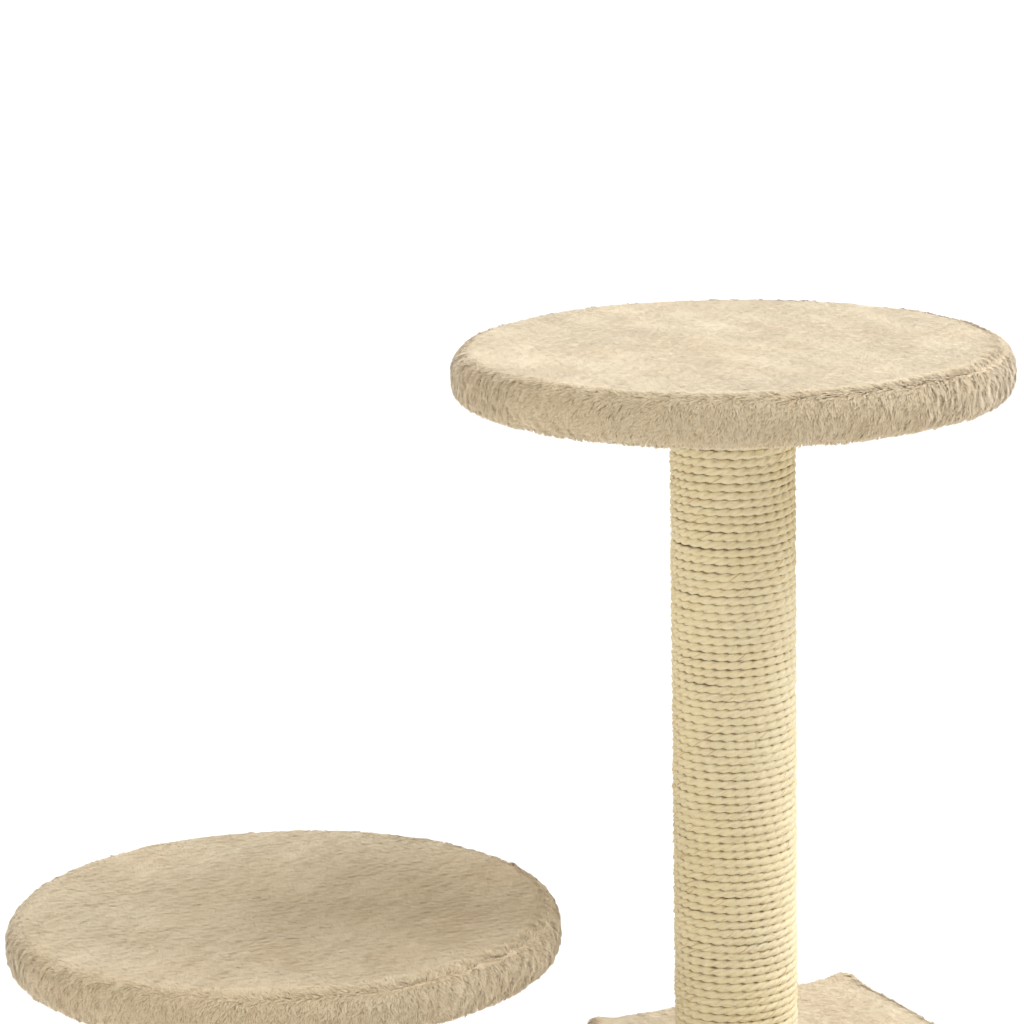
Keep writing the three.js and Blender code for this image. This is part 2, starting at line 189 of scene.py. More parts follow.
# painted shade: the root colour stands in for the shade between the fibres, at the tufts' roots and in the
# ground's streaks
PILE_ROOT_SHADE = (0.46, 0.34, 0.19)
PILE_TIP = (0.74, 0.625, 0.43)
PILE_PALE = (0.77, 0.665, 0.475)
PILE_WARM = (0.73, 0.60, 0.41)
PILE_COOL = (0.69, 0.62, 0.44)
# painted shade for the parting crease along the rims
PILE_CREASE_SHADE = (0.32, 0.22, 0.12)


def pile_material():
    """The tufts: pale at the tip, darkened toward the root with painted shade between the fibres, in patches
    of random tone that partly paint the shading where the nap lies differently.
    """
    n = Nodes("plush_pile")
    along = n.attribute("tip")
    own = n.attribute("shade")
    # partly random tone, partly painted light and shade where the nap lies differently
    tone_and_nap_shading = n.noise(n.place(), 28, 2)
    tint = n.ramp(tone_and_nap_shading, (0.35, PILE_WARM), (0.5, PILE_TIP), (0.68, PILE_PALE))
    tint = n.mix(n.ramp(n.noise(n.place(), 7, 1), (0.42, 0.0), (0.6, 0.4)), tint, PILE_COOL)
    tint = n.mix(n.ramp(own, (0.0, 0.0), (1.0, 0.4)), tint, PILE_PALE)
    # painted shade: each tuft darkens toward the root colour at its root
    colour = n.mix(n.ramp(along, (0.1, 0.0), (0.8, 1.0)), PILE_ROOT_SHADE, tint)
    return n.finish(
        Base_Color=colour,
        Roughness=n.ramp(own, (0.0, 0.82), (1.0, 0.95)),
        Sheen_Weight=0.35,
        Sheen_Roughness=0.45,
        Sheen_Tint=(1, 0.97, 0.92, 1),
    )


def ground_material():
    """The dense pile under the tufts' tips, with streaks along the nap that darken it with painted shade,
    and painted shade in the rim's parting crease.
    """
    n = Nodes("plush_ground")
    streaks = n.noise(n.place(scale=(120, 420, 420), turn=(0, 0, 0.3)), 1, 3)
    # partly random tone, partly painted light and shade where the nap lies differently
    tone_and_nap_shading = n.noise(n.place(), 28, 2)
    tint = n.ramp(tone_and_nap_shading, (0.35, PILE_WARM), (0.6, PILE_TIP))
    # painted shade: the streaks darken the ground toward the root colour along the nap's furrows
    colour = n.mix(n.ramp(streaks, (0.3, 0.3), (0.7, 0.0)), tint, PILE_ROOT_SHADE)
    # painted shade: the ground darkens where the pile parts along the rim
    colour = n.mix(n.attribute("parting_dent_and_shade"), colour, PILE_CREASE_SHADE)
    return n.finish(
        Base_Color=colour,
        Roughness=n.ramp(streaks, (0.2, 0.95), (0.8, 0.85)),
        Normal=n.bump(streaks, 0.8 * MM),
        Sheen_Weight=0.3,
        Sheen_Roughness=0.5,
        Sheen_Tint=(1, 0.97, 0.92, 1),
    )


SISAL_DULL = (0.72, 0.54, 0.28)
SISAL_GOLD = (0.93, 0.79, 0.47)
SISAL_PALE = (0.98, 0.89, 0.62)
SISAL_REEL = (0.96, 0.87, 0.62)
SISAL_STAIN = (0.52, 0.27, 0.11)
# painted shade for the grooves between the strands
SISAL_GROOVE_SHADE = (0.30, 0.19, 0.08)


def sisal_material():
    """Laid sisal: pale gold fibres along the strands, painted shade in the grooves, a few stained ones."""
    n = Nodes("sisal_rope")
    fibre = n.attribute("fibre", "Vector")
    groove_shade = n.attribute("crest")
    streaks = n.noise(n.place(scale=(0.25, 9, 9), source=fibre), 1, 4, 0.65)
    fine = n.noise(n.place(scale=(0.6, 22, 22), source=fibre), 1, 2)
    reels = n.noise(n.place(), 22, 2)
    tint = n.ramp(streaks, (0.25, SISAL_DULL), (0.42, SISAL_GOLD), (0.7, SISAL_PALE))
    tint = n.mix(n.ramp(reels, (0.35, 0.0), (0.75, 0.4)), tint, SISAL_REEL)
    stains = n.noise(n.place(scale=(0.05, 1.6, 1.6), source=fibre), 1, 1)
    tint = n.mix(n.ramp(stains, (0.68, 0.0), (0.75, 0.6)), tint, SISAL_STAIN)
    # painted shade: darker toward the grooves between the strands
    colour = n.mix(n.ramp(groove_shade, (0.05, 0.0), (0.48, 1.0)), SISAL_GROOVE_SHADE, tint)
    return n.finish(
        Base_Color=colour,
        Roughness=n.ramp(fine, (0.2, 0.95), (0.8, 0.68)),
        Normal=n.bump(n.math("ADD", streaks, fine), 0.35 * MM),
        Sheen_Weight=0.12,
    )


def stray_material():
    n = Nodes("sisal_stray_fibres")
    own = n.attribute("shade")
    along = n.attribute("tip")
    tint = n.ramp(own, (0.0, (0.50, 0.33, 0.15)), (0.2, (0.92, 0.80, 0.52)), (1.0, (0.97, 0.91, 0.72)))
    return n.finish(
        Base_Color=n.mix(along, tint, (0.9, 0.83, 0.66)),
        Roughness=n.ramp(own, (0, 0.6), (1, 0.85)),
    )


def chipboard_material():
    n = Nodes("chipboard")
    chips = n.cells(n.place(scale=(260, 420, 900)), 1)
    grey = n.node("ShaderNodeRGBToBW", "Val", {"Color": chips})
    grain = n.noise(n.place(scale=(400, 900, 900)), 1, 3)
    colour = n.ramp(grey, (0.1, (0.36, 0.25, 0.13)), (0.5, (0.57, 0.43, 0.26)), (0.9, (0.70, 0.57, 0.39)))
    colour = n.mix(n.ramp(grain, (0.3, 0.3), (0.7, 0.0)), colour, (0.30, 0.21, 0.11))
    return n.finish(
        Base_Color=colour,
        Roughness=n.ramp(grey, (0, 0.75), (1, 0.9)),
        Normal=n.bump(grain, 0.25 * MM),
    )


def softwood_material():
    n = Nodes("softwood")
    rings = n.node(
        "ShaderNodeTexWave",
        "Fac",
        {"Vector": n.place(scale=(1, 1, 0.08)), "Scale": 90, "Distortion": 4, "Detail": 2},
        wave_type="RINGS",
    )
    colour = n.ramp(rings, (0.2, (0.60, 0.43, 0.24)), (0.8, (0.79, 0.63, 0.41)))
    return n.finish(
        Base_Color=colour,
        Roughness=n.ramp(rings, (0, 0.8), (1, 0.65)),
        Normal=n.bump(rings, 0.1 * MM),
    )


def cardboard_material():
    n = Nodes("cardboard")
    wound = n.noise(n.place(scale=(30, 30, 900)), 1, 3)
    colour = n.ramp(wound, (0.3, (0.40, 0.27, 0.15)), (0.7, (0.53, 0.38, 0.23)))
    return n.finish(
        Base_Color=colour,
        Roughness=n.ramp(wound, (0, 0.95), (1, 0.85)),
        Normal=n.bump(wound, 0.1 * MM),
    )


def nonwoven_material():
    """Bonded cloth: tangled fibres with a grid of small welded dimples."""
    n = Nodes("nonwoven_cloth")
    tangle = n.noise(n.place(scale=(700, 700, 700)), 1, 4, 0.7)
    dimples = n.cells(n.place(scale=(420, 420, 420), turn=(0, 0, 0.6)), 1, "Distance")
    colour = n.ramp(tangle, (0.3, (0.62, 0.55, 0.44)), (0.7, (0.80, 0.74, 0.63)))
    height = n.math("ADD", tangle, n.ramp(dimples, (0.2, 0.0), (0.45, 1.0)))
    return n.finish(
        Base_Color=colour,
        Roughness=n.ramp(tangle, (0, 0.95), (1, 0.85)),
        Normal=n.bump(height, 0.15 * MM),
        Sheen_Weight=0.1,
    )


def steel_material():
    """Zinc-plated steel with the plating's faint blotches and fine scratches."""
    n = Nodes("zinc_steel")
    blotch = n.noise(n.place(), 160, 3)
    scratch = n.noise(n.place(scale=(300, 300, 3000)), 1, 2)
    colour = n.ramp(blotch, (0.3, (0.52, 0.53, 0.54)), (0.7, (0.70, 0.70, 0.69)))
    return n.finish(
        Base_Color=colour,
        Metallic=1.0,
        Roughness=n.ramp(scratch, (0.2, 0.28), (0.8, 0.48)),
        Normal=n.bump(scratch, 0.02 * MM),
    )


PILE = pile_material()
GROUND = ground_material()
SISAL = sisal_material()
STRAY = stray_material()
NONWOVEN = nonwoven_material()
STEEL = steel_material()
CAD_MATERIALS = {
    "plush": GROUND,
    "sisal": SISAL,
    "nonwoven": NONWOVEN,
    "chipboard": chipboard_material(),
    "softwood": softwood_material(),
    "cardboard": cardboard_material(),
    "zinc_steel": STEEL,
}


def paint_cad_nodes():
    slots = {s["node"]: s["material_slot"] for s in frame["record"]["subparts"]}
    for name, node in nodes.items():
        node.data.materials.clear()
        node.data.materials.append(CAD_MATERIALS[slots[name]])


# ---- Mesh tools ---------------------------------------------------------------------------------------


def waves(points, scale, seed, count=14):
    """A smooth random field over the points, about -1 to 1, with features about `scale` metres across."""
    draw = np.random.default_rng(seed)
    directions = draw.normal(size=(count, 3))
    directions /= np.linalg.norm(directions, axis=1)[:, None]
    pull = 2 * math.pi / scale * draw.uniform(0.6, 1.5, count)
    phase = draw.uniform(0, 2 * math.pi, count)
    return np.sin(points @ (directions * pull[:, None]).T + phase).sum(1) * math.sqrt(2 / count) / 1.5


def add_mesh(name, points, faces, material):
    """faces is a list of index arrays, each of shape (count, corners)."""
    mesh = bpy.data.meshes.new(name)
    corners = np.concatenate([f.reshape(-1) for f in faces]).astype(np.int32)
    counts = np.concatenate([np.full(len(f), f.shape[1]) for f in faces])
    starts = np.concatenate([[0], np.cumsum(counts)[:-1]]).astype(np.int32)
    mesh.vertices.add(len(points))
    mesh.vertices.foreach_set("co", np.asarray(points, np.float32).ravel())
    mesh.loops.add(len(corners))
    mesh.loops.foreach_set("vertex_index", corners)
    mesh.polygons.add(len(counts))
    mesh.polygons.foreach_set("loop_start", starts)
    mesh.polygons.foreach_set("use_smooth", np.ones(len(counts), bool))
    mesh.update(calc_edges=True)
    mesh.materials.append(material)
    made = bpy.data.objects.new(name, mesh)
    bpy.context.scene.collection.objects.link(made)
    return made


def add_attribute(made, name, values):
    kind, key = ("FLOAT_VECTOR", "vector") if np.ndim(values) == 2 else ("FLOAT", "value")
    attribute = made.data.attributes.new(name, kind, "POINT")
    attribute.data.foreach_set(key, np.asarray(values, np.float32).ravel())


def add_bake_map(made, uv_of_corners):
    layer = made.data.uv_layers.new(name="OFBake")
    layer.uv.foreach_set("vector", np.asarray(uv_of_corners, np.float32).ravel())


def triangles(faces):
    split = []
    for f in faces:
        split += [f[:, [0, i, i + 1]] for i in range(1, f.shape[1] - 1)]
    return np.concatenate(split)


def normals_of(points, faces):
    a, b, c = (points[triangles(faces)[:, i]] for i in range(3))
    across = np.cross(b - a, c - a)
    total = np.zeros_like(points)
    for i in range(3):
        np.add.at(total, triangles(faces)[:, i], across)
    return total / np.maximum(np.linalg.norm(total, axis=1), 1e-12)[:, None]


# ---- Plush --------------------------------------------------------------------------------------------

TUFT_RISE = 1.0 * MM  # how far the tufts' tips stand above the dense pile
PILE_INSET = 1.0 * MM  # the dense pile's surface lies this far inside the cover's outline
FLOOR_CLEARANCE = 0.4 * MM
MOST_TUFTS = 60000  # in one piece
SPACING = 3.2 * MM  # between a cover's points
PATCHES = 40  # the bake map's cells each way
NAP = unit([-0.45, 0.9, 0])  # the way the cloth's nap runs on every flat top


def within(points, loop):
    """Which of the flat points are inside the closed loop."""
    x, y = points[:, :1], points[:, 1:]
    a, b = loop, np.roll(loop, -1, 0)
    rise = np.where(b[:, 1] == a[:, 1], 1e-12, b[:, 1] - a[:, 1])
    crosses = (a[:, 1] > y) != (b[:, 1] > y)
    return (crosses & (x < a[:, 0] + (y - a[:, 1]) * (b[:, 0] - a[:, 0]) / rise)).sum(1) % 2 == 1


def between(points, loops):
    """Which of the flat points are inside the first loop and outside the others."""
    kept = within(points, loops[0])
    for hole in loops[1:]:
        kept &= ~within(points, hole)
    return kept


def filled(loops, spacing=SPACING):
    """Fills the first flat loop, less the others, with triangles. The loops' points come first."""
    edge = np.concatenate(loops)
    low, high = edge.min(0), edge.max(0)
    rows = np.arange(low[1], high[1], spacing * math.sqrt(3) / 2)
    columns = np.arange(low[0], high[0], spacing)
    grid = []
    for k, y in enumerate(rows):
        grid.append(np.column_stack([columns + k % 2 * spacing / 2, np.full(len(columns), y)]))
    grid = np.concatenate(grid)
    grid = grid[between(grid, loops)]
    far = np.min([np.hypot(*(grid - p).T) for p in edge], axis=0) > 0.6 * spacing
    points = np.concatenate([edge, grid[far]])
    cdt = delaunay_2d_cdt([Vector(p) for p in points], [], [], 0, 1e-7)
    made = np.array([tuple(v) for v in cdt[0]])
    faces = np.array(cdt[2])
    return made, faces[between(made[faces].mean(1), loops)]


def circle(centre, radius, spacing=SPACING):
    count = max(12, round(2 * math.pi * radius / spacing))
    turn = np.arange(count) * 2 * math.pi / count
    return np.column_stack([centre[0] + radius * np.cos(turn), centre[1] + radius * np.sin(turn)])


def rounded_rectangle(low, high, radius, spacing=SPACING):
    """An anticlockwise outline's points, and the way out at each."""
    low, high = np.asarray(low[:2]) + radius, np.asarray(high[:2]) - radius
    corners = [(high[0], low[1]), (high[0], high[1]), (low[0], high[1]), (low[0], low[1])]
    points, out = [], []
    for k, corner in enumerate(corners):
        steps = max(4, round(radius * math.pi / 2 / spacing))
        for angle in (k - 1 + np.linspace(0, 1, steps + 1)) * math.pi / 2:
            way = np.array([math.cos(angle), math.sin(angle)])
            points.append(corner + radius * way)
            out.append(way)
        ahead = np.array(corners[(k + 1) % 4]) + radius * way
        count = max(1, round(math.dist(points[-1], ahead) / spacing))
        start = points[-1]
        for share in np.arange(1, count) / count:
            points.append(start + (ahead - start) * share)
            out.append(way)
    return np.array(points), np.array(out)


def arc(centre, radius, start, end, steps):
    angles = np.radians(np.linspace(start, end, steps + 1))
    return [(centre[0] + radius * math.cos(a), centre[1] + radius * math.sin(a)) for a in angles]


def line(a, b, spacing=SPACING):
    """Points from a up to, but not at, b."""
    steps = max(1, round(math.dist(a, b) / spacing))
    return [tuple(np.array(a) + (np.array(b) - np.array(a)) * i / steps) for i in range(steps)]


def edge_profile(side_bottom, top_edge, bottom_edge, turn_in):
    """A padded board's edge as (out, up) steps from where its flat top ends. side_bottom is a height
    measured from the top, so it is below zero."""
    wide = top_edge - bottom_edge
    profile = arc((0, -top_edge), top_edge, 90, 0, 8)[1:]
    profile += line((top_edge, -top_edge), (top_edge, side_bottom + bottom_edge))[1:]
    profile += arc((wide, side_bottom + bottom_edge), bottom_edge, 0, -90, 7)
    end = (wide - turn_in, side_bottom)
    return profile + line((wide, side_bottom), end)[1:] + [end]


def skirted(points, faces, count, out, profile):
    """Adds rings outside the loop that the first `count` points make."""
    loop = points[:count]
    rings = [loop + out * o + np.array([0, 0, 1.0]) * h for o, h in profile]
    start = len(points)
    i = np.arange(count)
    j = (i + 1) % count
    quads = []
    for k in range(len(rings)):
        a = 0 if k == 0 else start + (k - 1) * count
        b = start + k * count
        quads.append(np.column_stack([a + i, b + i, b + j, a + j]))
    return np.concatenate([points, *rings]), [faces, np.concatenate(quads)]


def tube_quads(sides, rings):
    """The faces of `rings` rings of `sides` points, each ring joined to the next."""
    i, k = np.meshgrid(np.arange(sides), np.arange(rings - 1))
    j = (i + 1) % sides
    quads = np.stack([k * sides + i, k * sides + j, (k + 1) * sides + j, (k + 1) * sides + i], -1)
    return quads.reshape(-1, 4)


def outside(points, low, high):
    """How far each point is, seen from above, from the box."""
    beyond = np.maximum(np.array(low[:2]) - points[:, :2], points[:, :2] - np.array(high[:2]))
    return np.hypot(*np.maximum(beyond, 0).T)


def flat3(points, z):
    return np.column_stack([points, np.full(len(points), z)])


def smooth_step(x):
    x = np.clip(x, 0, 1)
    return x * x * (3 - 2 * x)


class Plush:
    """A plush cover: a cloth surface at the top of its dense pile, and tufts that stand out of it."""

    def __init__(self, name, body, points, faces, seed):
        self.name, self.body, self.points, self.faces, self.seed = name, body, points, faces, seed
        self.tufts = []
        self.normals = normals_of(points, faces)

    def ruffle(self, coarse=0.22 * MM, fine=0.08 * MM):
        """Uneven stuffing: the pile is never quite flat."""
        lift = coarse * waves(self.points, 50 * MM, self.seed)
        lift = lift + fine * waves(self.points, 12 * MM, self.seed + 1)
        self.points = self.points + self.normals * lift[:, None]
        self.normals = normals_of(self.points, self.faces)

    def crease(self, strength):
        """How deep the pile parts along the rim, where the top's nap meets the side's; the same amount
        paints shade into the crease.
        """
        slope = self.normals[:, 2]
        line_up = np.exp(-((slope - 0.83) / 0.10) ** 2)
        breaks = smooth_step(0.5 + 0.9 * waves(self.points, 0.016, self.seed + 7))
        return strength * line_up * breaks

    def finish(self, flat, area, rests_on, replaced, parting_dent_and_shade=0.0):
        # the crease's depth dents the cloth and, as an attribute, paints shade into the ground
        depth = self.crease(parting_dent_and_shade)
        self.points = self.points - self.normals * (1.2 * MM * depth)[:, None]
        cloth = add_mesh(self.name, self.points, self.faces, GROUND)
        add_attribute(cloth, "parting_dent_and_shade", depth)
        pieces = [cloth, *self.tufts]
        for piece in pieces:
            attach(piece, self.body)
        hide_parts(*replaced)

    def grow(self, density, where, length=5.0, width=0.5, fluff=1.0, spread=1.0):
        """Grows tufts to `density` a square millimetre. where(points, normals) gives the share of the full
        density at each place. length and width are in millimetres."""
        seed = self.seed + 10 * (len(self.tufts) + 1)
        draw = np.random.default_rng(seed)
        tris = triangles(self.faces)
        a, b, c = (self.points[tris[:, i]] for i in range(3))
        area = np.linalg.norm(np.cross(b - a, c - a), axis=1) / 2
        middles, facing = (a + b + c) / 3, self.normals[tris].mean(1)
        area = area * where(middles, facing)
        number = int(area.sum() / MM**2 * density)
        chosen = draw.choice(len(tris), number, p=area / area.sum())
        u, v = draw.random((2, number, 1))
        u, v = np.where(u + v > 1, 1 - u, u), np.where(u + v > 1, 1 - v, v)
        w = 1 - u - v
        root = a[chosen] * w + b[chosen] * u + c[chosen] * v
        normal = sum(self.normals[tris[chosen, i]] * weight for i, weight in enumerate((w, u, v)))
        normal /= np.linalg.norm(normal, axis=1)[:, None]
        self.comb(root, normal, draw, seed, length, width, fluff, spread)

    def nap(self, root, normal):
        """Along the cloth's nap on top, brushed down and round on the sides, and inwards underneath."""
        wander = np.stack([waves(root, 0.10, 5), waves(root, 0.10, 6), np.zeros(len(root))], 1)
        flat = NAP + 0.22 * wander
        out = normal * [1, 1, 0]
        out /= np.maximum(np.linalg.norm(out, axis=1), 1e-6)[:, None]
        around = flat - (flat * out).sum(1)[:, None] * out
        side = 0.55 * around + 0.2 * wander + np.array([0, 0, -0.95])
        steep = smooth_step((1 - normal[:, 2:3]) / 0.5)
        return np.where(normal[:, 2:3] < -0.5, -out, flat * (1 - steep) + (side + 0.4 * out) * steep)

    def comb(self, root, normal, draw, seed, length, width, fluff, spread):
        number = len(root)
        nap = self.nap(root, normal)
        nap = nap - (nap * normal).sum(1)[:, None] * normal
        nap /= np.maximum(np.linalg.norm(nap, axis=1), 1e-9)[:, None]
        side = np.cross(nap, normal)
        swing = 0.3 * waves(root, 0.007, seed + 3) + 0.25 * waves(root, 0.03, seed + 4)
        swing = spread * (swing + draw.normal(0, 0.2, number))
        heave = 0.5 + 0.5 * waves(root, 0.006, seed + 5)
        way = nap + side * swing[:, None]
        way /= np.linalg.norm(way, axis=1)[:, None]
        long = length * MM * draw.uniform(0.7, 1.2, number)
        rise = TUFT_RISE * fluff * np.clip(0.2 + heave + draw.normal(0, 0.2, number), 0.05, 2.2)
        half = np.cross(way, normal) * (width * MM / 2 * draw.uniform(0.7, 1.3, number))[:, None]
        start = root - normal * (0.5 * MM)
        bend = root + way * (0.38 * long)[:, None] + normal * (0.8 * rise)[:, None]
        tip = root + way * long[:, None] + normal * rise[:, None]
        points = np.stack([start - half, start + half, bend - half, bend + half, tip], 1)
        points[:, :, 2] = np.maximum(points[:, :, 2], FLOOR_CLEARANCE)
        lit = normal + fluff * (0.2 * side * swing[:, None] + 0.15 * (heave[:, None] - 0.5) * -nap)
        lit += draw.normal(0, 0.05 * fluff, (number, 3))
        lit /= np.linalg.norm(lit, axis=1)[:, None]
        shade = np.clip(0.5 + 0.3 * waves(root, 0.005, seed + 6) + draw.normal(0, 0.2, number), 0, 1)
        for part in np.array_split(np.arange(number), math.ceil(number / MOST_TUFTS)):
            name = f"{self.name}_pile_{len(self.tufts) + 1}"
            piece = tuft_piece(name, points[part], lit[part], shade[part], root[part], PILE, min(1, fluff))
            self.tufts.append(piece)


def tuft_piece(name, points, lit, shade, root, material, depth=1.0):
    number = len(points)
    first = np.arange(number, dtype=np.int32)[:, None] * 5
    blade, end = first + [0, 1, 3, 2], first + [2, 3, 4]
    made = add_mesh(name, points.reshape(-1, 3), [blade, end], material)
    # tip falls from 1 at the tip to 1 - depth at the root, where the material paints shade; depth sets how
    # much painted shade
    add_attribute(made, "tip", np.tile(1 - depth * np.array([1, 1, 0.55, 0.55, 0]), number))
    add_attribute(made, "shade", np.repeat(shade, 5))
    if lit is not None:
        add_attribute(made, "custom_normal", np.repeat(lit, 5, axis=0))
    add_bake_map(made, patch_map(root, shade))
    return made


def patch_map(root, shade):
    """Each tuft's place on its bake map: a cell for its patch of the cover, a column in it for its shade,
    and the column's foot to its top for the tuft's root to its tip."""
    low, high = root.min(0), root.max(0)
    flat = np.sort(np.argsort(high - low)[1:])
    cell = (root[:, flat] - low[flat]) / np.maximum((high - low)[flat], 1e-6)
    cell = np.minimum((cell * PATCHES).astype(int), PATCHES - 1)
    left = (cell[:, 0] + 0.1 + 0.7 * shade) / PATCHES
    foot = (cell[:, 1] + 0.1) / PATCHES
    wide, tall = 0.1 / PATCHES, 0.8 / PATCHES
    corner = {
        0: (left, foot),
        1: (left + wide, foot),
        2: (left, foot + 0.45 * tall),
        3: (left + wide, foot + 0.45 * tall),
        4: (left + wide / 2, foot + tall),
    }
    blade = np.stack([np.stack(corner[i], 1) for i in (0, 1, 3, 2)], 1)
    end = np.stack([np.stack(corner[i], 1) for i in (2, 3, 4)], 1)
    return np.concatenate([blade.reshape(-1, 2), end.reshape(-1, 2)])


def on_top(points, normals):
    return smooth_step((normals[:, 2] - 0.75) / 0.1)


def on_side(points, normals):
    return np.where(normals[:, 2] > -0.6, smooth_step((0.97 - normals[:, 2]) / 0.08), 0)


def everywhere(points, normals):
    return np.ones(len(points))


def underneath(points, normals):
    return np.where(normals[:, 2] <= -0.6, 1.0, 0.0)


PERCH_RADIUS = 150 * MM
PERCH_SIDE = 29 * MM
PERCH_TURN_UNDER = 36 * MM
TURNED_EDGE_RADIUS = 113.5 * MM  # where the cover's cut edge lies, under the perch
CLOTH_GAP = 0.6 * MM  # between a cloth and the board that it meets


def make_perch(name, seed, top_length, top_fluff):
    cover, board = f"{name}_cover", f"{name}_board"
    low, high = (np.array(v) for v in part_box(cover))
    centre = (low + high) / 2
    radius = (high[0] - low[0]) / 2 - PILE_INSET
    top_edge, bottom_edge = 12 * MM, 9.5 * MM
    loop = circle(centre, radius - top_edge)
    flat, faces = filled([loop])
    top = high[2] - PILE_INSET
    out = flat3((loop - centre[:2]) / (radius - top_edge), 0)
    turn_in = radius - bottom_edge - TURNED_EDGE_RADIUS
    profile = edge_profile(low[2] + 0.8 * MM - top, top_edge, bottom_edge, turn_in)
    profile.append((profile[-1][0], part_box(board)[0][2] - CLOTH_GAP - top))
    points, faces = skirted(flat3(flat, top), faces, len(loop), out, profile)
    plush = Plush(f"{name}_plush", name, points, faces, seed)
    plush.ruffle()
    plush.grow(2.1, on_top, length=top_length, width=0.38, fluff=top_fluff, spread=1.3)
    plush.grow(3.0, on_side, length=4.0, width=0.4, fluff=1.1, spread=1.5)
    plush.grow(0.5, underneath, width=0.9)
    across = 2 * (PERCH_RADIUS + PERCH_SIDE + PERCH_TURN_UNDER)
    plush.finish((across, across), math.pi * across**2 / 4, [board], [cover], parting_dent_and_shade=0.5)
    make_underside(name)


STAPLES = 18  # round an underside cloth
BOLT_HOLE = 4.4 * MM  # its radius
SMOOTH_MIDDLE = 60 * MM  # the cloth is flat out to this radius
UNDERSIDE_THICK = 0.35 * MM


def make_underside(name):
    """The cloth disc that hides the cover's turned-in edge, with a slight pucker between its staples."""
    node = f"{name}_underside_disc"
    low, high = (np.array(v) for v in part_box(node))
    centre = ((low + high) / 2)[:2]
    radius = (high[0] - low[0]) / 2
    flat, faces = filled([circle(centre, radius), circle(centre, BOLT_HOLE, 1 * MM)])
    spot = flat - centre
    out = np.hypot(*spot.T)
    pucker = np.clip((out - SMOOTH_MIDDLE) / (radius - SMOOTH_MIDDLE), 0, 1) ** 2
    depth = 0.3 * MM * pucker * (1 - np.cos(STAPLES * np.arctan2(spot[:, 1], spot[:, 0]))) / 2
    points = np.column_stack([flat, low[2] + UNDERSIDE_THICK - depth])
    made = add_mesh(f"{name}_underside_cloth", points, [faces[:, ::-1]], NONWOVEN)
    thick = made.modifiers.new("thickness", "SOLIDIFY")
    thick.thickness = UNDERSIDE_THICK
    thick.offset = -1
    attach(made, name)
    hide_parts(node)


def post_hole(post):
    """Where the plush opens round a post: just clear of its rope."""
    return circle(middle(f"{post}_sisal_winding"), size(f"{post}_sisal_winding")[0] / 2 + 0.5 * MM)


def gathered_corners(points, low, high, height, radius):
    """A lump at each corner of a flat top, where the cloth's spare fold is pushed under the edge."""
    lift = np.zeros(len(points))
    for x in (low[0], high[0]):
        for y in (low[1], high[1]):
            inward = np.sign([x - (low[0] + high[0]) / 2, y - (low[1] + high[1]) / 2])
            spot = np.array([x, y]) - inward * 9 * MM
            away = np.hypot(*(points[:, :2] - spot).T)
            lift += np.exp(-((away / radius) ** 2))
    return height * lift


def make_roof_cover(seed):
    low, high = (np.array(v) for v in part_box("condo_roof_cover"))
    edge = 8 * MM
    inset = edge + PILE_INSET
    loop, out = rounded_rectangle(low + inset, high - inset, 4 * MM)
    top = high[2] - PILE_INSET
    flat, faces = filled([loop, post_hole("upper_post")])
    profile = edge_profile(low[2] - top, edge, 3 * MM, 2 * MM)
    points, faces = skirted(flat3(flat, top), faces, len(loop), flat3(out, 0), profile)
    upper = smooth_step((points[:, 2] - low[2]) / (top - low[2]))
    points[:, 2] += upper * gathered_corners(points, low, high, 2.6 * MM, 8 * MM)
    plush = Plush("condo_roof_plush", "base", points, faces, seed)
    plush.ruffle()
    plush.grow(1.6, on_top, length=4.0, width=0.45, fluff=0.22, spread=1.2)
    plush.grow(1.6, on_side, fluff=1.1)
    spare = 50 * MM
    wide, deep = size("condo_roof_cover")[:2] + spare
    plush.finish((wide, deep), wide * deep, ["condo_roof_board"], ["condo_roof_cover"], parting_dent_and_shade=0.3)


WALL_SIDES = ("front", "right", "back", "left")
WALL_PANELS = [f"condo_{side}_panel" for side in WALL_SIDES]
WALL_COVERS = [f"condo_{side}_cover" for side in WALL_SIDES]


